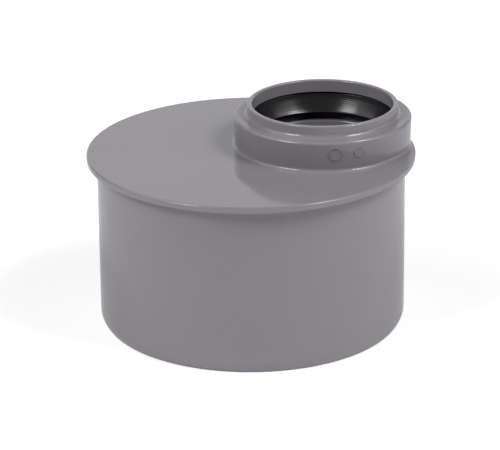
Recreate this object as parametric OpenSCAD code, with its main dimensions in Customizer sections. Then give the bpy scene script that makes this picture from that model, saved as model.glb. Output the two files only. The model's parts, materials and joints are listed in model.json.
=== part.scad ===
// Short eccentric push-fit reducer for drain pipes, moulded in one piece, with its lip seal.
// The wide spigot goes down into the socket of a wide pipe. The narrow pipe goes down into the ring socket on top.
// The foot of the spigot is on z = 0 round the origin, and the ring socket stands off to the +X side.

/* [Spigot] */
// Outside diameter of the spigot
spigot_d = 110; // [96:1:125]
// Wall of the spigot
spigot_wall = 3; // [2.9:0.1:4]
// Length of the spigot below the plate
spigot_length = 60.5; // [50:0.5:90]
// Height of the rounded lead-in at the spigot's end
lead_in_height = 4; // [2:0.5:8]
// How far the lead-in draws the end inwards
lead_in_depth = 1.6; // [0.5:0.1:1.8]

/* [Plate] */
// Thickness of the plate between spigot and socket
plate_thickness = 2.4; // [2.4:0.1:4]
// Rounding of the plate's two edges
plate_edge_r = 0.6; // [0.2:0.1:0.8]
// Width of the slope in the corners under the plate
under_slope = 0.8; // [0.4:0.1:0.9]

/* [Ring socket] */
// Outside diameter of the narrow pipe
pipe_d = 50; // [40:1:56]
// Gap round the pipe in the socket
pipe_clearance = 0.2; // [0.1:0.05:0.4]
// Wall of the collar above the plate and of the tube below it
socket_wall = 1.8; // [1.5:0.1:1.9]
// Height of the rim above the plate
rim_height = 15; // [14.5:0.1:20]
// Rounding of the rim, inside and outside
rim_edge_r = 0.5; // [0.3:0.1:0.7]
// Depth from the rim to the stop for the pipe
socket_depth = 46; // [35:1:60]
// Width of the stop's ledge
stop_width = 2; // [1:0.1:3]
// Thickness of the stop's ledge
stop_thickness = 2.5; // [1.5:0.5:4]

/* [Bead round the groove] */
// Height of the bead's shoulder above the plate
shoulder_height = 10.8; // [10.6:0.1:11.6]
// Wall of the bead outside the groove
bead_wall = 2; // [1.5:0.1:3]
// Rounding of the shoulder's outer edge
shoulder_edge_r = 0.6; // [0.4:0.1:1.2]
// Rounding between collar and shoulder
collar_fillet_r = 1.6; // [0.5:0.1:1.8]
// Rounding between bead and plate
foot_fillet_r = 1.1; // [0.2:0.1:1.5]
// Height of the upright band at the bead's foot
foot_band = 2; // [1.8:0.2:4]
// How much the bead widens from that band to its shoulder, on each side
bead_flare = 0.25; // [0.1:0.05:0.5]
// How far the plate's edge stands out past the bead's foot
plate_margin = 0.25; // [0.05:0.05:1]

/* [Groove] */
// Depth of the groove behind the bore
groove_depth = 4.4; // [4.2:0.1:5]
// Wall left under the groove
groove_floor_wall = 2; // [1.4:0.1:2.3]
// Height of the groove at the bore
groove_height = 11; // [10:0.1:11.2]
// Slope of the groove's roof in degrees
roof_slope = 20; // [15:1:24]
// Rounding of the lower edge, where the groove opens into the bore
groove_edge_r = 0.7; // [0.1:0.1:0.9]

/* [Lip seal] */
// Gap between the seal and the groove's round wall and roof
seal_gap = 0.05; // [0.05:0.05:0.2]
// Thickness of the seal's heel, which lies against the groove
heel_wall = 2.8; // [2.2:0.1:3]
// How far the seal's top edge stands back from the bore
seal_setback = 0.4; // [0.2:0.1:1]
// Thickness of the lip
lip_wall = 1.2; // [0.8:0.1:1.3]
// Height of the lip's lower edge above the groove's floor
lip_height = 3.3; // [2:0.1:4.5]
// Height of the band where the lip lies on the pipe
lip_band = 0.8; // [0.5:0.1:1.5]
// Height of the gap behind the lip above the groove's floor
lip_root_height = 6.8; // [5.5:0.1:7.5]

/* [Hidden] */
$fn = 128;

body_grey = [0.56, 0.55, 0.58];
seal_black = [0.07, 0.07, 0.075];

// How far a piece of a profile reaches into its neighbour, or a cut past the surface
overlap = 0.5;

spigot_r = spigot_d / 2;
spigot_inside_r = spigot_r - spigot_wall;
plate_top = spigot_length + plate_thickness;
plate_middle = spigot_length + plate_thickness / 2;

pipe_r = pipe_d / 2;
socket_r = pipe_r + pipe_clearance;
collar_r = socket_r + socket_wall;
groove_r = socket_r + groove_depth;
bead_r = groove_r + bead_wall;
bead_top_r = bead_r + bead_flare;
passage_r = socket_r - stop_width;

rim_z = plate_top + rim_height;
foot_band_z = plate_top + foot_band;
shoulder_z = plate_top + shoulder_height;
stop_z = rim_z - socket_depth;
tube_end_z = stop_z - stop_thickness;
groove_floor_z = spigot_length + groove_floor_wall;
groove_roof_z = groove_floor_z + groove_height;

// The socket's bore meets the spigot's inside wall on the +X side, so that water runs out level there
socket_x = spigot_inside_r - socket_r;
plate_r = socket_x + bead_r + plate_margin;

// Radius of the lead-in's arc, which leaves the spigot's wall smoothly and ends lead_in_depth further in
lead_in_r = (pow(lead_in_height, 2) + pow(lead_in_depth, 2)) / (2 * lead_in_depth);

// Height of the groove's sloping roof at radius r
function roof_z(r) = groove_roof_z - (r - socket_r) * tan(roof_slope);

// A square corner less its quarter circle, at [x, y] with its sides towards side_x and side_y, each 1 or -1.
// Added to a profile, it fills an inside corner. Taken away, it rounds an outside corner.
module corner(x, y, r, side_x, side_y) {
    difference() {
        translate([x - (side_x > 0 ? overlap : r), y - (side_y > 0 ? overlap : r)])
            square(r + overlap);
        translate([x + side_x * r, y + side_y * r])
            circle(r);
    }
}

// A flat slope that fills an inside corner at [x, y], with its sides towards side_x and side_y, each 1 or -1.
// It is used under the plate, where the tube runs into the spigot's wall and two roundings would meet in a sliver.
module slope(x, y, width, side_x, side_y) {
    polygon([
        [x - side_x * overlap, y - side_y * overlap],
        [x + side_x * width, y - side_y * overlap],
        [x + side_x * width, y],
        [x, y + side_y * width],
        [x - side_x * overlap, y + side_y * width]
    ]);
}

// What is cut off the spigot's end to leave the rounded lead-in
module lead_in_cut() {
    difference() {
        translate([spigot_r - lead_in_r, -overlap])
            square([lead_in_r + overlap, lead_in_height + overlap]);
        translate([spigot_r - lead_in_r, lead_in_height])
            circle(lead_in_r);
    }
}

// Half section of the spigot and the plate about the spigot's axis
module spigot_profile() {
    difference() {
        union() {
            translate([spigot_inside_r, 0])
                square([spigot_wall, plate_middle]);
            translate([0, spigot_length])
                square([plate_r, plate_thickness]);
            slope(spigot_inside_r, spigot_length, under_slope, -1, -1);
        }
        lead_in_cut();
        corner(plate_r, plate_top, plate_edge_r, -1, -1);
        corner(plate_r, spigot_length, plate_edge_r, -1, 1);
    }
}

// Half section of the socket's outside about the socket's axis: tube, bead and collar, still solid
module socket_outside_profile() {
    difference() {
        union() {
            translate([0, tube_end_z])
                square([collar_r, rim_z - tube_end_z]);
            polygon([
                [0, plate_middle],
                [bead_r, plate_middle],
                [bead_r, foot_band_z],
                [bead_top_r, shoulder_z],
                [0, shoulder_z]
            ]);
            slope(collar_r, spigot_length, under_slope, 1, -1);
            corner(collar_r, shoulder_z, collar_fillet_r, 1, 1);
        }
        corner(bead_top_r, shoulder_z, shoulder_edge_r, -1, -1);
        corner(collar_r, rim_z, rim_edge_r, -1, -1);
    }
}

// Half section of the socket's inside about the socket's axis: mouth, groove, bore and the way out past the stop
module socket_inside_profile() {
    translate([0, tube_end_z - overlap])
        square([passage_r, stop_thickness + 2 * overlap]);
    translate([0, stop_z])
        square([socket_r, socket_depth + overlap]);
    polygon([
        [socket_r - overlap, groove_floor_z],
        [groove_r, groove_floor_z],
        [groove_r, roof_z(groove_r)],
        [socket_r, groove_roof_z],
        [socket_r - overlap, groove_roof_z]
    ]);
    corner(socket_r, groove_floor_z, groove_edge_r, 1, -1);
    corner(socket_r, rim_z, rim_edge_r, 1, -1);
}

// Rounding at the bead's foot, which runs out where the plate's rounded edge begins
module foot_fillet() {
    intersection() {
        translate([socket_x, 0, 0])
            rotate_extrude() {
                translate([groove_r, plate_middle])
                    square([bead_wall + foot_fillet_r, plate_thickness / 2]);
                corner(bead_r, plate_top, foot_fillet_r, 1, 1);
            }
        cylinder(r = plate_r - plate_edge_r, h = shoulder_z);
    }
}

// The moulded body: spigot, plate and ring socket in one piece
module reducer_body() {
    color(body_grey)
        difference() {
            union() {
                rotate_extrude()
                    spigot_profile();
                translate([socket_x, 0, 0])
                    rotate_extrude()
                        socket_outside_profile();
                foot_fillet();
            }
            translate([socket_x, 0, 0])
                rotate_extrude()
                    socket_inside_profile();
        }
}

// The rubber ring in the groove, with its lip laid back as far as the narrow pipe pushes it
module lip_seal() {
    heel_outside_r = groove_r - seal_gap;
    heel_inside_r = heel_outside_r - heel_wall;
    top_r = socket_r + seal_setback;
    lip_z = groove_floor_z + lip_height;
    color(seal_black)
        translate([socket_x, 0, 0])
            rotate_extrude()
                polygon([
                    [heel_inside_r, groove_floor_z],
                    [heel_outside_r, groove_floor_z],
                    [heel_outside_r, roof_z(heel_outside_r) - seal_gap],
                    [top_r, roof_z(top_r) - seal_gap],
                    [pipe_r, lip_z + lip_band],
                    [pipe_r, lip_z],
                    [pipe_r + lip_wall / 2, lip_z - lip_wall / 2],
                    [pipe_r + lip_wall, lip_z],
                    [heel_inside_r, groove_floor_z + lip_root_height]
                ]);
}

reducer_body();
lip_seal();
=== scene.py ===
# %% [markdown]
# # A short eccentric drain pipe reducer
# The real part is one grey moulding with a black rubber ring in it. Its wide spigot goes down into a wide
# pipe's socket, and a narrow pipe is pushed down into the small ring socket that stands off centre on the
# plate. The CAD model has every shape of the moulding, but its roundings are cut into uneven triangles, and
# those break up the long thin highlights that make moulded plastic look moulded. So this lesson turns the
# moulding again with even steps. The rubber ring is modelled again too, because its lip stands further in
# when no pipe is pushed through it.

# %% Load the CAD model
import json
import math

import bpy
from mathutils import Matrix, Vector


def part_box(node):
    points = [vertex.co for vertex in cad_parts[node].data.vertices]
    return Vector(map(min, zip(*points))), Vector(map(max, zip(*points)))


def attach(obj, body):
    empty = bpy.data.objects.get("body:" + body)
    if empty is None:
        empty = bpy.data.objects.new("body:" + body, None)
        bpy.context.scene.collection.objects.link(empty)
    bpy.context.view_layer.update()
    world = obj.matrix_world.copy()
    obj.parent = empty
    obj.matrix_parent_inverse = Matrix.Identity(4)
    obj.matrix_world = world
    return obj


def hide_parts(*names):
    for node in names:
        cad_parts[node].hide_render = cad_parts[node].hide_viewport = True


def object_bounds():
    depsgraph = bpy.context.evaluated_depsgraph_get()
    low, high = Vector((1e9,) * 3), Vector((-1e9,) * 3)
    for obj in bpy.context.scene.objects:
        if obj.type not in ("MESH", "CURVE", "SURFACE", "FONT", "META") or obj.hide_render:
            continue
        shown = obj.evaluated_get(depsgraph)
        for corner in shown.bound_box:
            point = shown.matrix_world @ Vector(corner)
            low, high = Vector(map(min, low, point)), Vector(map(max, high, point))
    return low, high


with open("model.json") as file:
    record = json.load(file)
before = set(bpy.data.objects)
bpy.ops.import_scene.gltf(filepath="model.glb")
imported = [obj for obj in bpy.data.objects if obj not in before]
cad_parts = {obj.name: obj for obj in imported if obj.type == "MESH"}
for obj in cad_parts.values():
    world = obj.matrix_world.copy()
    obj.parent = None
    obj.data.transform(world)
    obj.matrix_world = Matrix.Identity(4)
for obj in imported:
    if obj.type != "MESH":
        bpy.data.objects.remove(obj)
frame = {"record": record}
cad_low, cad_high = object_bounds()
MM = 0.001
print("CAD box in mm", [round(v / MM, 1) for v in cad_high - cad_low])

# %% [markdown]
# The record says where the spigot, the plate and the narrow pipe's socket are, and the seal's box says where
# its groove is. All that is modelled below takes its place from these. Sections are drawn in millimetres, as
# a maker would, so the places are kept in millimetres too. The plate's radius is half the width of the CAD
# mesh's own box, less a hair, so that the new moulding stays inside that box.

# %% Read the places that the new pieces need
mounts = {mount["name"]: mount for mount in frame["record"]["mounts"]}
SPIGOT_MM = mounts["spigot"]["dims"]["r_mm"]
UNDERSIDE_MM = mounts["plate_underside"]["pos_m"][2] / MM
INSIDE_BOX_MM = 0.001
PLATE_R_MM = (cad_high.y - cad_low.y) / 2 / MM - INSIDE_BOX_MM
RIM_MM = cad_high.z / MM
socket_x = mounts["pipe_socket"]["pos_m"][0]
BORE_MM = mounts["pipe_socket"]["dims"]["r_mm"]
seal_low, seal_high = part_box("lip_seal")
groove_floor = seal_low.z
GROOVE_FLOOR_MM = groove_floor / MM
SEAL_OUTSIDE_MM = (seal_high.x - seal_low.x) / 2 / MM
SEAL_TOP_MM = (seal_high.z - groove_floor) / MM
print("socket axis at x", socket_x, "m, bore radius", BORE_MM, "mm")
print("groove floor at", round(GROOVE_FLOOR_MM, 2), "mm, plate radius", round(PLATE_R_MM, 3), "mm")

# %% [markdown]
# ## The camera
# The picture is taken from a little to the left and about 21 degrees above the table, from about a metre
# away with a long lens, so the outlines hardly converge. A camera's own axes are right, up and backwards, so
# the three columns of its matrix are built from the two angles of view, and a last small turn about the view
# makes up for a camera that wasn't quite level.

# %% Set up the camera
PICTURE_WIDTH_PX = 500
FOCAL_PX = 2800
SENSOR_MM = 36
CAMERA_PLACE = Vector((-0.26531, -0.90235, 0.39910))
NEAR_AND_FAR = (0.02, 50)
yaw, pitch, roll = (math.radians(degrees) for degrees in (16.347, 21.213, -0.548))

forward = Vector((math.sin(yaw) * math.cos(pitch), math.cos(yaw) * math.cos(pitch), -math.sin(pitch)))
level_right = Vector((math.cos(yaw), -math.sin(yaw), 0))
level_up = level_right.cross(forward)
right = math.cos(roll) * level_right + math.sin(roll) * level_up
up = math.cos(roll) * level_up - math.sin(roll) * level_right

camera_data = bpy.data.cameras.new("picture_camera")
camera_data.sensor_width = SENSOR_MM
camera_data.lens = FOCAL_PX / PICTURE_WIDTH_PX * SENSOR_MM
camera_data.clip_start, camera_data.clip_end = NEAR_AND_FAR
camera = bpy.data.objects.new("picture_camera", camera_data)
bpy.context.scene.collection.objects.link(camera)
camera.matrix_world = Matrix((right, up, -forward)).transposed().to_4x4()
camera.location = CAMERA_PLACE
bpy.context.scene.camera = camera
print("lens", camera_data.lens, "mm, camera at", tuple(CAMERA_PLACE))

# %% [markdown]
# ## Small helpers for modelling
# An operator works on everything that is selected, so each step starts from an empty selection. Rings of
# edges are picked in code by their place: on a turned piece, a corner is all the points with one radius and
# one height. A finished piece has its place in its mesh and rides on the part, and it is closed when every
# edge joins two faces.

# %% Helpers for selecting and finishing
NEAR_MM = 0.02


def clear_selection():
    if bpy.context.object and bpy.context.object.mode != "OBJECT":
        bpy.ops.object.mode_set(mode="OBJECT")
    bpy.ops.object.select_all(action="DESELECT")


def select_only(piece):
    clear_selection()
    piece.select_set(True)
    bpy.context.view_layer.objects.active = piece


def edit_with_nothing_selected(kind):
    """Enters edit mode with vertices, edges or faces as the kind to select, and selects none of them."""
    bpy.ops.object.mode_set(mode="EDIT")
    bpy.ops.mesh.select_mode(type=kind)
    bpy.ops.mesh.select_all(action="DESELECT")


def select_circle(piece, centre_x, foot_z, radius_mm, height_mm):
    """Selects the edges of one circle about the upright axis through centre_x, and counts them."""
    edit_with_nothing_selected("EDGE")
    bpy.ops.object.mode_set(mode="OBJECT")
    on_circle = []
    for vertex in piece.data.vertices:
        radius = math.hypot(vertex.co.x - centre_x, vertex.co.y) / MM
        height = (vertex.co.z - foot_z) / MM
        on_circle.append(abs(radius - radius_mm) < NEAR_MM and abs(height - height_mm) < NEAR_MM)
    for edge in piece.data.edges:
        edge.select = all(on_circle[i] for i in edge.vertices)
    found = sum(edge.select for edge in piece.data.edges)
    bpy.ops.object.mode_set(mode="EDIT")
    return found


def settle(piece, smooth_below_deg):
    """Puts the place into the mesh, shades it smooth up to an angle and lets it ride on the part."""
    select_only(piece)
    bpy.ops.object.transform_apply(location=True, rotation=True, scale=True)
    bpy.ops.object.shade_smooth_by_angle(angle=math.radians(smooth_below_deg))
    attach(piece, "root")
    faces_at = {}
    for face in piece.data.polygons:
        for key in face.edge_keys:
            faces_at[key] = faces_at.get(key, 0) + 1
    loose = sum(count != 2 for count in faces_at.values())
    print(piece.name, "has", len(piece.data.polygons), "faces and", loose, "edges that don't join two faces")


def combine(piece, other, operation):
    """Adds, cuts away or keeps what the other piece covers, and deletes the other piece."""
    select_only(piece)
    step = piece.modifiers.new(operation.lower(), "BOOLEAN")
    step.operation = operation
    step.object = other
    bpy.ops.object.modifier_apply(modifier=step.name)
    bpy.data.objects.remove(other)


# %% [markdown]
# Every main piece here is round, so each one starts as half its section. The section is traced point by
# point from one vertex and spun round its own upright axis in even steps. A section that starts and ends on
# its axis is left open there, and its two ends shrink to a pole each. Any other section is closed with one
# more edge. Corners are rounded after the spin, because a bevel finds the right arc at any angle. Only the
# spigot's lead-in and the fillet at the bead's foot are drawn as arcs in their sections.

# %% Trace a half section and spin it
SPECK = 1 * MM
MERGE_MM = 0.001


def arc_points(centre, radius_mm, start, end, steps=8):
    """Points of an arc in a section, from one angle to another in radians, in even steps."""
    angles = [start + (end - start) * step / steps for step in range(steps + 1)]
    return [(centre[0] + radius_mm * math.cos(a), centre[1] + radius_mm * math.sin(a)) for a in angles]


def turned(name, section, centre_x, foot_z, steps):
    """Spins a half section, given as radius and height in mm, round the upright axis through centre_x."""

    def place(point):
        return Vector((centre_x + point[0] * MM, 0, foot_z + point[1] * MM))

    clear_selection()
    first, last = place(section[0]), place(section[-1])
    middle_to_corner = Vector((SPECK / 2, SPECK / 2, 0))
    bpy.ops.mesh.primitive_plane_add(size=SPECK, location=first - middle_to_corner)
    piece = bpy.context.object
    piece.name = name
    bpy.ops.object.transform_apply(location=True)
    edit_with_nothing_selected("VERT")
    bpy.ops.object.mode_set(mode="OBJECT")
    for vertex in piece.data.vertices:
        vertex.select = (vertex.co - first).length > NEAR_MM * MM
    bpy.ops.object.mode_set(mode="EDIT")
    bpy.ops.mesh.delete(type="VERT")
    bpy.ops.mesh.select_all(action="SELECT")
    for here, there in zip(section, section[1:]):
        bpy.ops.mesh.extrude_vertices_move(TRANSFORM_OT_translate={"value": place(there) - place(here)})
    bpy.ops.object.mode_set(mode="OBJECT")
    starts_off_axis = section[0][0] > 0
    if starts_off_axis:
        for vertex in piece.data.vertices:
            vertex.select = min((vertex.co - first).length, (vertex.co - last).length) < NEAR_MM * MM
        bpy.ops.object.mode_set(mode="EDIT")
        bpy.ops.mesh.edge_face_add()
    bpy.ops.object.mode_set(mode="EDIT")
    bpy.ops.mesh.select_all(action="SELECT")
    bpy.ops.mesh.spin(steps=steps, angle=math.tau, center=(centre_x, 0, 0), axis=(0, 0, 1))
    bpy.ops.mesh.select_all(action="SELECT")
    bpy.ops.mesh.remove_doubles(threshold=MERGE_MM * MM)
    bpy.ops.mesh.normals_make_consistent(inside=False)
    bpy.ops.object.mode_set(mode="OBJECT")
    print(name, "has", len(piece.data.polygons), "faces after the spin")
    return piece


# %% Round circular corners
def round_corners(piece, centre_x, foot_z, corners):
    """Rounds circular edges, each given as its radius and height, the rounding and its segments."""
    for (radius_mm, height_mm), rounding_mm, segments in corners:
        found = select_circle(piece, centre_x, foot_z, radius_mm, height_mm)
        bpy.ops.mesh.bevel(offset=rounding_mm * MM, segments=segments, affect="EDGES")
        print("rounded", found, "edges at radius", round(radius_mm, 2), "by", rounding_mm, "mm")
    bpy.ops.object.mode_set(mode="OBJECT")


# %% [markdown]
# ## The grey moulding
# An injection tool for such a part has one core and one cavity turned about the spigot's axis, and a smaller
# pair turned about the socket's axis. So the moulding is two turned shapes here too: the spigot with its
# plate, and the ring socket with the tube that goes on below the plate. The first has a lead-in with a large
# rounding, which guides it into the wide pipe's socket, and a small slope in the corner under the plate.

# %% Turn the spigot with its plate
BODY_STEPS = 256
SMALL_ROUNDING_SEGMENTS = 6
SPIGOT_WALL_MM = 3
PLATE_MM = 2.4
PLATE_EDGE_MM = 0.6
SLOPE_MM = 0.8
LEAD_IN_HEIGHT_MM = 4
LEAD_IN_DEPTH_MM = 1.6
LEAD_IN_ARC_MM = (LEAD_IN_HEIGHT_MM ** 2 + LEAD_IN_DEPTH_MM ** 2) / (2 * LEAD_IN_DEPTH_MM)
SPIGOT_INSIDE_MM = SPIGOT_MM - SPIGOT_WALL_MM
PLATE_TOP_MM = UNDERSIDE_MM + PLATE_MM

lead_in = arc_points(
    (SPIGOT_MM - LEAD_IN_ARC_MM, LEAD_IN_HEIGHT_MM), LEAD_IN_ARC_MM,
    -math.asin(LEAD_IN_HEIGHT_MM / LEAD_IN_ARC_MM), 0,
)
moulding = turned(
    "moulded_body",
    [
        (0, UNDERSIDE_MM),
        (SPIGOT_INSIDE_MM - SLOPE_MM, UNDERSIDE_MM),
        (SPIGOT_INSIDE_MM, UNDERSIDE_MM - SLOPE_MM),
        (SPIGOT_INSIDE_MM, 0),
        *lead_in,
        (SPIGOT_MM, UNDERSIDE_MM),
        (PLATE_R_MM, UNDERSIDE_MM),
        (PLATE_R_MM, PLATE_TOP_MM),
        (0, PLATE_TOP_MM),
    ],
    0, 0, BODY_STEPS,
)
round_corners(moulding, 0, 0, [
    ((PLATE_R_MM, UNDERSIDE_MM), PLATE_EDGE_MM, SMALL_ROUNDING_SEGMENTS),
    ((PLATE_R_MM, PLATE_TOP_MM), PLATE_EDGE_MM, SMALL_ROUNDING_SEGMENTS),
])

# %% [markdown]
# The ring socket's section runs once round its wall: down the outside over the collar, the shoulder and the
# bead, through the plate, down the tube inside the spigot, and up its inside over the ledge that stops the
# pipe and through the groove. The groove's roof slopes, so that the tool's core can be pulled out past it
# while the plastic is still warm. The two roundings at the shoulder carry the longest highlights of the
# part, so they get the most segments.

# %% Turn the ring socket
LARGE_ROUNDING_SEGMENTS = 10
COLLAR_WALL_MM = 1.8
RIM_EDGE_MM = 0.5
COLLAR_FILLET_MM = 1.6
SHOULDER_HEIGHT_MM = 10.8
SHOULDER_EDGE_MM = 1.0
BEAD_WALL_MM = 2
BEAD_FLARE_MM = 0.25
BEAD_BAND_HEIGHT_MM = 2
GROOVE_DEPTH_MM = 4.4
GROOVE_HEIGHT_MM = 11
GROOVE_EDGE_MM = 0.7
ROOF_FALL = math.tan(math.radians(20))
SOCKET_DEPTH_MM = 46
LEDGE_WIDTH_MM = 2
LEDGE_THICKNESS_MM = 2.5

COLLAR_MM = BORE_MM + COLLAR_WALL_MM
GROOVE_MM = BORE_MM + GROOVE_DEPTH_MM
BEAD_MM = GROOVE_MM + BEAD_WALL_MM
SHOULDER_R_MM = BEAD_MM + BEAD_FLARE_MM
PASSAGE_MM = BORE_MM - LEDGE_WIDTH_MM
SHOULDER_MM = PLATE_TOP_MM + SHOULDER_HEIGHT_MM
BEAD_BAND_MM = PLATE_TOP_MM + BEAD_BAND_HEIGHT_MM
IN_PLATE_MM = (UNDERSIDE_MM + PLATE_TOP_MM) / 2
GROOVE_ROOF_MM = GROOVE_FLOOR_MM + GROOVE_HEIGHT_MM
LEDGE_TOP_MM = RIM_MM - SOCKET_DEPTH_MM
TUBE_END_MM = LEDGE_TOP_MM - LEDGE_THICKNESS_MM
IN_LEDGE_MM = (TUBE_END_MM + LEDGE_TOP_MM) / 2

socket = turned(
    "ring_socket",
    [
        (BORE_MM, RIM_MM),
        (COLLAR_MM, RIM_MM),
        (COLLAR_MM, SHOULDER_MM),
        (SHOULDER_R_MM, SHOULDER_MM),
        (BEAD_MM, BEAD_BAND_MM),
        (BEAD_MM, IN_PLATE_MM),
        (COLLAR_MM + 1.5 * SLOPE_MM, UNDERSIDE_MM + 0.5 * SLOPE_MM),
        (COLLAR_MM, UNDERSIDE_MM - SLOPE_MM),
        (COLLAR_MM, TUBE_END_MM),
        (PASSAGE_MM, TUBE_END_MM),
        (PASSAGE_MM, LEDGE_TOP_MM),
        (BORE_MM, LEDGE_TOP_MM),
        (BORE_MM, GROOVE_FLOOR_MM),
        (GROOVE_MM, GROOVE_FLOOR_MM),
        (GROOVE_MM, GROOVE_ROOF_MM - GROOVE_DEPTH_MM * ROOF_FALL),
        (BORE_MM, GROOVE_ROOF_MM),
    ],
    socket_x, 0, BODY_STEPS,
)
round_corners(socket, socket_x, 0, [
    ((BORE_MM, RIM_MM), RIM_EDGE_MM, SMALL_ROUNDING_SEGMENTS),
    ((COLLAR_MM, RIM_MM), RIM_EDGE_MM, SMALL_ROUNDING_SEGMENTS),
    ((COLLAR_MM, SHOULDER_MM), COLLAR_FILLET_MM, LARGE_ROUNDING_SEGMENTS),
    ((SHOULDER_R_MM, SHOULDER_MM), SHOULDER_EDGE_MM, LARGE_ROUNDING_SEGMENTS),
    ((BORE_MM, GROOVE_FLOOR_MM), GROOVE_EDGE_MM, SMALL_ROUNDING_SEGMENTS),
])

# %% [markdown]
# The hollow rounding at the bead's foot is a ring of its own, because it has to run out where the plate's
# rounded edge begins. Its section is an arc between the plate and the bead, and the rest of it is sunk in
# them. Both ends of the arc dip in by a hair as well, so that no edge only touches a surface.

# %% Turn the fillet at the bead's foot
FOOT_FILLET_MM = 1.1
FOOT_SUNK_MM = 0.6
HAIR_MM = 0.005

foot_arc = arc_points(
    (BEAD_MM + FOOT_FILLET_MM, PLATE_TOP_MM + FOOT_FILLET_MM), FOOT_FILLET_MM,
    1.5 * math.pi, math.pi,
)
foot = turned(
    "foot_fillet",
    [
        (BEAD_MM - BEAD_WALL_MM / 2, PLATE_TOP_MM - FOOT_SUNK_MM),
        (BEAD_MM + FOOT_FILLET_MM, PLATE_TOP_MM - FOOT_SUNK_MM),
        (BEAD_MM + FOOT_FILLET_MM, PLATE_TOP_MM - HAIR_MM),
        *foot_arc[1:-1],
        (BEAD_MM - HAIR_MM, PLATE_TOP_MM + FOOT_FILLET_MM),
        (BEAD_MM - BEAD_WALL_MM / 2, PLATE_TOP_MM + FOOT_FILLET_MM),
    ],
    socket_x, 0, BODY_STEPS,
)

# %% [markdown]
# Two holes are cut before the three are joined. One goes down through the plate and ends in the ledge, as
# wide as the middle of the collar's wall. The other is as wide as the middle of the bead's wall and ends in
# the plate, so that the plate doesn't fill the bottom of the groove. The socket then covers the edges of
# both, and no two surfaces lie on each other. At the end the normals are weighted by area, which keeps the
# flat plate flat in its reflections right up to its rounded edge.

# %% Join the three
SMOOTH_BELOW_DEG = 32


def upright_cylinder(radius_mm, centre_x, low_mm, high_mm):
    clear_selection()
    bpy.ops.mesh.primitive_cylinder_add(
        vertices=BODY_STEPS, radius=radius_mm * MM, depth=(high_mm - low_mm) * MM,
        location=(centre_x, 0, (low_mm + high_mm) / 2 * MM),
    )
    return bpy.context.object


bore_hole = upright_cylinder(BORE_MM + COLLAR_WALL_MM / 2, socket_x, IN_LEDGE_MM, RIM_MM)
groove_hole = upright_cylinder(GROOVE_MM + BEAD_WALL_MM / 2, socket_x, IN_PLATE_MM, RIM_MM)
flat_of_plate = upright_cylinder(PLATE_R_MM - PLATE_EDGE_MM, 0, UNDERSIDE_MM, RIM_MM)
combine(moulding, bore_hole, "DIFFERENCE")
combine(moulding, groove_hole, "DIFFERENCE")
combine(foot, flat_of_plate, "INTERSECT")
combine(moulding, socket, "UNION")
combine(moulding, foot, "UNION")
settle(moulding, SMOOTH_BELOW_DEG)
even = moulding.modifiers.new("even_shading", "WEIGHTED_NORMAL")
even.keep_sharp = True
bpy.ops.object.modifier_apply(modifier=even.name)
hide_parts("reducer_body")

# %% [markdown]
# ## The rubber lip seal
# A lip seal is a ring with a thick heel that fills its groove and a thin lip that points down and inwards. A
# pipe pushes the lip outwards, and the lip's own spring then seals against it. Nothing is in the socket
# here, so the lip is free. Its face slants inwards from just under the bore and bends a little more towards
# its edge, which is what makes its highlights brighter at the bottom. The section's points are listed
# along that face, round the edge and up the hollow behind the lip. Their heights count from the
# groove's floor.

# %% Turn the seal
SEAL_STEPS = 192
HEEL_INSIDE_MM = 26.75
HEEL_TOP_MM = 6.5
TOP_INSIDE_MM = 26.7
CAD_TOP_INSIDE_MM = BORE_MM + 0.4


def under_roof(radius_mm):
    """Height of the seal's top, which falls outwards under the groove's sloping roof as in the CAD model."""
    return SEAL_TOP_MM - (radius_mm - CAD_TOP_INSIDE_MM) * ROOF_FALL


lip_face = [(26.48, 9.3), (25.85, 7.9), (25.17, 6.45), (24.47, 5.1), (23.8, 4.0)]
lip_edge = [(23.58, 3.75), (23.78, 3.55)]
lip_back = [(24.25, 4.0), (24.9, 4.6), (25.4, 5.35), (25.75, 6.2), (26.1, 6.65), (26.45, 6.75)]
seal = turned(
    "lip_seal_free",
    [
        (HEEL_INSIDE_MM, 0),
        (SEAL_OUTSIDE_MM, 0),
        (SEAL_OUTSIDE_MM, under_roof(SEAL_OUTSIDE_MM)),
        (TOP_INSIDE_MM, under_roof(TOP_INSIDE_MM)),
        *lip_face,
        *lip_edge,
        *lip_back,
        (HEEL_INSIDE_MM, HEEL_TOP_MM),
    ],
    socket_x, groove_floor, SEAL_STEPS,
)

# %% [markdown]
# Moulded rubber has no sharp corners. The corner under the bore gets the largest rounding, and it leaves the
# narrow dark line that shows between the bore and the seal.

# %% Round the seal's corners
TOP_ROUNDING = (0.75, 4)
HEEL_ROUNDING = (0.4, 2)
SEAL_SMOOTH_BELOW_DEG = 35
round_corners(seal, socket_x, groove_floor, [
    ((TOP_INSIDE_MM, under_roof(TOP_INSIDE_MM)), *TOP_ROUNDING),
    ((SEAL_OUTSIDE_MM, under_roof(SEAL_OUTSIDE_MM)), *HEEL_ROUNDING),
    ((SEAL_OUTSIDE_MM, 0), *HEEL_ROUNDING),
    ((HEEL_INSIDE_MM, 0), *HEEL_ROUNDING),
])
settle(seal, SEAL_SMOOTH_BELOW_DEG)
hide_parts("lip_seal")

# %% [markdown]
# ## Two moulded rings on the bead
# The moulding tool of such a part has small round inserts, and each leaves a thin raised ring on the wall.
# The rings follow the curve of the bead, so a flat ring would stand off it at both sides. Here a short tube
# points at the bead like a punch, and a Boolean with a cone just wider than the bead keeps what is inside
# the cone, which is a thin line above the wall and its root in the wall. The cone's two radii are measured
# on the bead, which flares a little, with rays from outside.

# %% Make the rings
TUBE_LENGTH_MM = 2
TUBE_SIDES = 64
WALL_HALF_MM = 3
WALL_SIDES = 512
SHARP_FROM_DEG = 50
BEVEL_SHARE_OF_LINE = 0.35
RING_SMOOTH_BELOW_DEG = 60
RING_HEIGHT_MM = 9


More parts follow.
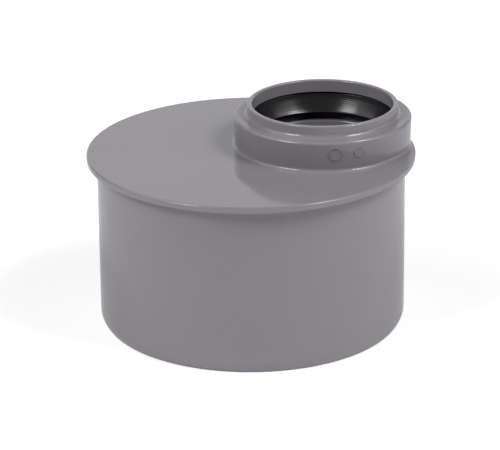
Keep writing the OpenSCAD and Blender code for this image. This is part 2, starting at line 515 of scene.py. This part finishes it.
def wall_radius(height):
    """Radius of the bead at a height, measured with a ray from outside towards the socket's axis."""
    outside = Vector((socket_x, -100 * MM, height))
    return abs(moulding.ray_cast(outside, Vector((0, 1, 0)))[1].y)


def raised_ring(name, angle_deg, ring_r_mm, line_mm, raised_mm):
    """Makes a ring on the bead, at an angle round the socket, with the width and height of its line."""
    angle = math.radians(angle_deg)
    outwards = Vector((math.cos(angle), math.sin(angle), 0))
    spot = Vector((socket_x, 0, (UNDERSIDE_MM + RING_HEIGHT_MM) * MM))
    low_r, middle_r, high_r = (wall_radius(spot.z + step * WALL_HALF_MM * MM) for step in (-1, 0, 1))
    clear_selection()
    bpy.ops.mesh.primitive_cylinder_add(
        vertices=TUBE_SIDES, radius=ring_r_mm * MM, depth=TUBE_LENGTH_MM * MM, end_fill_type="NGON",
        location=spot + outwards * middle_r, rotation=(0, math.pi / 2, angle),
    )
    ring = bpy.context.object
    ring.name = name
    edit_with_nothing_selected("FACE")
    bpy.ops.object.mode_set(mode="OBJECT")
    for face in ring.data.polygons:
        face.select = len(face.vertices) > 4
    bpy.ops.object.mode_set(mode="EDIT")
    bpy.ops.mesh.inset(thickness=line_mm * MM, use_individual=True)
    bpy.ops.mesh.bridge_edge_loops()
    clear_selection()
    bpy.ops.mesh.primitive_cone_add(
        vertices=WALL_SIDES, radius1=low_r + raised_mm * MM, radius2=high_r + raised_mm * MM,
        depth=2 * WALL_HALF_MM * MM, location=spot,
    )
    combine(ring, bpy.context.object, "INTERSECT")
    edit_with_nothing_selected("EDGE")
    bpy.ops.mesh.edges_select_sharp(sharpness=math.radians(SHARP_FROM_DEG))
    bevel_mm = BEVEL_SHARE_OF_LINE * line_mm
    bpy.ops.mesh.bevel(offset=bevel_mm * MM, segments=3, affect="EDGES", clamp_overlap=True)
    bpy.ops.object.mode_set(mode="OBJECT")
    settle(ring, RING_SMOOTH_BELOW_DEG)
    return ring


mould_rings = [
    raised_ring("mould_ring_left", angle_deg=-99.9, ring_r_mm=2.5, line_mm=0.5, raised_mm=0.22),
    raised_ring("mould_ring_right", angle_deg=-84.3, ring_r_mm=2.0, line_mm=0.45, raised_mm=0.18),
]

# %% [markdown]
# ## Materials
# Moulded polypropylene is never quite even. Its grey drifts by a few parts in a hundred over a few
# centimetres, its gloss drifts with it, and its skin has a faint waviness from the tool and a fine grain.
# All of this comes from noise on Object coordinates, so the pattern is fixed in the plastic. Scales are
# counted per metre.

# %% Helpers for materials
def new_material(name):
    material = bpy.data.materials.new(name)
    material.use_nodes = True
    return material, material.node_tree.nodes, material.node_tree.links


def noise(nodes, links, coordinates, scale, detail):
    texture = nodes.new("ShaderNodeTexNoise")
    texture.inputs["Scale"].default_value = scale
    texture.inputs["Detail"].default_value = detail
    links.new(coordinates, texture.inputs["Vector"])
    return texture.outputs["Fac"]


def spread(nodes, links, value, low, high):
    """Maps the middle of a noise, where nearly all of its values lie, onto a range."""
    stretch = nodes.new("ShaderNodeMapRange")
    for socket_name, number in {"From Min": 0.3, "From Max": 0.7, "To Min": low, "To Max": high}.items():
        stretch.inputs[socket_name].default_value = number
    links.new(value, stretch.inputs["Value"])
    return stretch.outputs["Result"]


def bump(nodes, links, height, distance, below=None):
    ripple = nodes.new("ShaderNodeBump")
    ripple.inputs["Distance"].default_value = distance
    links.new(height, ripple.inputs["Height"])
    if below is not None:
        links.new(below, ripple.inputs["Normal"])
    return ripple.outputs["Normal"]


def two_tone(nodes, links, value, dark, light):
    blend = nodes.new("ShaderNodeMix")
    blend.data_type = "RGBA"
    blend.inputs["A"].default_value = (*dark, 1)
    blend.inputs["B"].default_value = (*light, 1)
    links.new(value, blend.inputs["Factor"])
    return blend.outputs["Result"]


# %% Grey moulded plastic
GREY_DARK = (0.228, 0.217, 0.240)
GREY_LIGHT = (0.240, 0.229, 0.253)
PLASTIC_IOR = 1.49
PLASTIC_ROUGHNESS = (0.09, 0.12)
DRIFT_SCALE, WAVE_SCALE, PLASTIC_GRAIN_SCALE = 22, 90, 1600
WAVE_DEPTH_MM, PLASTIC_GRAIN_DEPTH_MM = 0.03, 0.004

plastic, nodes, links = new_material("moulded_grey")
shader = nodes["Principled BSDF"]
shader.inputs["IOR"].default_value = PLASTIC_IOR
place_in_part = nodes.new("ShaderNodeTexCoord").outputs["Object"]
drift = noise(nodes, links, place_in_part, DRIFT_SCALE, 3)
grey = two_tone(nodes, links, spread(nodes, links, drift, 0, 1), GREY_DARK, GREY_LIGHT)
waves = bump(nodes, links, noise(nodes, links, place_in_part, WAVE_SCALE, 1), WAVE_DEPTH_MM * MM)
fine_noise = noise(nodes, links, place_in_part, PLASTIC_GRAIN_SCALE, 2)
grain = bump(nodes, links, fine_noise, PLASTIC_GRAIN_DEPTH_MM * MM, waves)
links.new(grey, shader.inputs["Base Color"])
links.new(spread(nodes, links, drift, *PLASTIC_ROUGHNESS), shader.inputs["Roughness"])
links.new(grain, shader.inputs["Normal"])
print("made", plastic.name)

# %% [markdown]
# The rubber is almost black, and its lip has very fine rings, because its mould was turned on a lathe. The
# rings are a wave texture along the height, broken up a little by noise. They only bend the light, so they
# show as thin streaks in the highlights and nowhere else.

# %% Black rubber
BLACK_DARK = (0.006, 0.006, 0.0065)
BLACK_LIGHT = (0.011, 0.011, 0.0115)
RUBBER_IOR = 1.44
RUBBER_ROUGHNESS = (0.20, 0.25)
PATCH_SCALE, TURNING_SCALE, RUBBER_GRAIN_SCALE = 60, 500, 2500
TURNING_DEPTH_MM, RUBBER_GRAIN_DEPTH_MM = 0.012, 0.004

rubber, nodes, links = new_material("black_rubber")
shader = nodes["Principled BSDF"]
shader.inputs["IOR"].default_value = RUBBER_IOR
place_in_part = nodes.new("ShaderNodeTexCoord").outputs["Object"]
patches = noise(nodes, links, place_in_part, PATCH_SCALE, 3)
black = two_tone(nodes, links, patches, BLACK_DARK, BLACK_LIGHT)
turning = nodes.new("ShaderNodeTexWave")
turning.bands_direction = "Z"
turning.inputs["Scale"].default_value = TURNING_SCALE
turning.inputs["Distortion"].default_value = 2
turning.inputs["Detail"].default_value = 2
links.new(place_in_part, turning.inputs["Vector"])
rings = bump(nodes, links, turning.outputs["Fac"], TURNING_DEPTH_MM * MM)
fine_noise = noise(nodes, links, place_in_part, RUBBER_GRAIN_SCALE, 2)
grain = bump(nodes, links, fine_noise, RUBBER_GRAIN_DEPTH_MM * MM, rings)
links.new(black, shader.inputs["Base Color"])
links.new(spread(nodes, links, patches, *RUBBER_ROUGHNESS), shader.inputs["Roughness"])
links.new(grain, shader.inputs["Normal"])
print("made", rubber.name)

# %% Give each piece its material
for piece, material in [(moulding, plastic), (seal, rubber), *((ring, plastic) for ring in mould_rings)]:
    piece.data.materials.clear()
    piece.data.materials.append(material)
    print(piece.name, "is", material.name)

# %% [markdown]
# ## Floor and light
# The picture has a white ground, and three things make it. Each of them glows with a strength of its own
# for each kind of light ray, because what the camera sees and what the part mirrors can then be set apart.
# The world is white to the camera and a mid grey in reflections, and it lights almost nothing, so that the
# lamps do that. The floor is a pale matt surface that also glows, like a lit table. It throws soft light up
# onto the spigot, and the part's shadow stays on it. A white sheet stands behind the part. It is what the
# plate mirrors at the camera's low angle, so it is what makes the plate lighter than the walls.

# %% Helpers for surfaces that glow
def level_by_ray(nodes, links, levels):
    """Gives each kind of light ray its own strength. A ray of several kinds takes the strongest one."""
    ray = nodes.new("ShaderNodeLightPath").outputs
    total = None
    for kind, strength in levels.items():
        share = nodes.new("ShaderNodeMath")
        share.operation = "MULTIPLY"
        share.inputs[1].default_value = strength
        links.new(ray[kind], share.inputs[0])
        if total is None:
            total = share.outputs[0]
            continue
        larger = nodes.new("ShaderNodeMath")
        larger.operation = "MAXIMUM"
        links.new(total, larger.inputs[0])
        links.new(share.outputs[0], larger.inputs[1])
        total = larger.outputs[0]
    return total


def glowing_material(name, levels):
    """Makes a material that only glows, and also returns its nodes, links and the glow's output."""
    material, nodes, links = new_material(name)
    nodes.remove(nodes["Principled BSDF"])
    glow = nodes.new("ShaderNodeEmission")
    links.new(level_by_ray(nodes, links, levels), glow.inputs["Strength"])
    links.new(glow.outputs["Emission"], nodes["Material Output"].inputs["Surface"])
    return material, nodes, links, glow.outputs["Emission"]


# %% Floor, sheet and world
FLOOR_SIZE = 30
FLOOR_GAP_MM = 0.05
FLOOR_COLOUR = (0.8, 0.8, 0.8, 1)
FLOOR_GLOW = {"Is Camera Ray": 0.5, "Is Diffuse Ray": 0.3, "Is Glossy Ray": 0.08, "Is Transmission Ray": 0.3}
WORLD_GLOW = {"Is Camera Ray": 1, "Is Diffuse Ray": 0.02, "Is Glossy Ray": 0.3, "Is Transmission Ray": 0.75}
SHEET_GLOW = {"Is Camera Ray": 1, "Is Diffuse Ray": 0.75, "Is Glossy Ray": 0.82, "Is Transmission Ray": 1}
SHEET_DISTANCE = 1.8
SHEET_WIDTH, SHEET_HEIGHT = 3.0, 0.85

clear_selection()
bpy.ops.mesh.primitive_plane_add(size=FLOOR_SIZE, location=(0, 0, -FLOOR_GAP_MM * MM))
floor = bpy.context.object
floor.name = "floor"
ground, nodes, links, glow = glowing_material("white_ground", FLOOR_GLOW)
matt = nodes.new("ShaderNodeBsdfDiffuse")
matt.inputs["Color"].default_value = FLOOR_COLOUR
both = nodes.new("ShaderNodeAddShader")
links.new(matt.outputs["BSDF"], both.inputs[0])
links.new(glow, both.inputs[1])
links.new(both.outputs["Shader"], nodes["Material Output"].inputs["Surface"])
floor.data.materials.append(ground)

clear_selection()
behind = Vector((forward.x, forward.y, 0)).normalized() * SHEET_DISTANCE
bpy.ops.mesh.primitive_plane_add(
    size=1, location=(behind.x, behind.y, SHEET_HEIGHT / 2), rotation=(math.pi / 2, 0, -yaw),
)
sheet = bpy.context.object
sheet.name = "white_sheet"
sheet.scale = (SHEET_WIDTH, SHEET_HEIGHT, 1)
bpy.ops.object.transform_apply(location=True, rotation=True, scale=True)
sheet.data.materials.append(glowing_material("white_paper", SHEET_GLOW)[0])

world = bpy.data.worlds.new("studio")
world.use_nodes = True
bpy.context.scene.world = world
nodes, links = world.node_tree.nodes, world.node_tree.links
links.new(level_by_ray(nodes, links, WORLD_GLOW), nodes["Background"].inputs["Strength"])
nodes["Background"].inputs["Color"].default_value = (1, 1, 1, 1)
print("floor glows", FLOOR_GLOW, "and the world", WORLD_GLOW)

# %% [markdown]
# Two soft boxes stand left and right of the camera. They make the short pairs of highlights on the shoulder
# and on the rubber, which shows them the other way round, because it is hollow. The right box stands higher,
# so the rubber's slanting face catches less of it. A larger, dimmer panel stands further out on each side
# and gives the long, even light on the walls, and a long low strip at the far right lights the right edge of
# the spigot and of the bead. All of them aim at the part and are unseen by the camera. A lamp's power is
# worked out from its brightness and its area, so that a lamp made larger doesn't look dimmer.

# %% Soft boxes, side panels and the low strip
LIT_POINT = Vector((0.01, 0, 0.05))
LAMP_DISTANCE = 1.2


def soft_box(name, azimuth_deg, elevation_deg, width, height, brightness):
    """Places a lamp by its angle round the part, 0 in front and 90 at the right, and its angle above."""
    azimuth, elevation = math.radians(azimuth_deg), math.radians(elevation_deg)
    sideways, forwards = math.sin(azimuth), -math.cos(azimuth)
    towards_lamp = Vector((
        sideways * math.cos(elevation), forwards * math.cos(elevation), math.sin(elevation),
    ))
    lamp_data = bpy.data.lights.new(name, "AREA")
    lamp_data.shape = "RECTANGLE"
    lamp_data.size, lamp_data.size_y = width, height
    lamp_data.energy = brightness * math.pi * width * height
    lamp = bpy.data.objects.new(name, lamp_data)
    bpy.context.scene.collection.objects.link(lamp)
    lamp.matrix_world = towards_lamp.to_track_quat("Z", "Y").to_matrix().to_4x4()
    lamp.location = LIT_POINT + towards_lamp * LAMP_DISTANCE
    lamp.visible_camera = False
    print(name, "at", [round(v, 3) for v in lamp.location], "with", round(lamp_data.energy, 2), "W")


soft_box("left_box", azimuth_deg=-68.5, elevation_deg=42, width=0.42, height=0.36, brightness=11.5)
soft_box("right_box", azimuth_deg=45.5, elevation_deg=50, width=0.36, height=0.38, brightness=12)
soft_box("left_panel", azimuth_deg=-96, elevation_deg=45, width=1.1, height=0.9, brightness=1.6)
soft_box("right_panel", azimuth_deg=54, elevation_deg=45, width=0.8, height=0.8, brightness=2.35)
soft_box("right_low", azimuth_deg=74, elevation_deg=6, width=0.9, height=0.22, brightness=2.4)

# %% Picture settings
bpy.context.scene.view_settings.view_transform = "Standard"
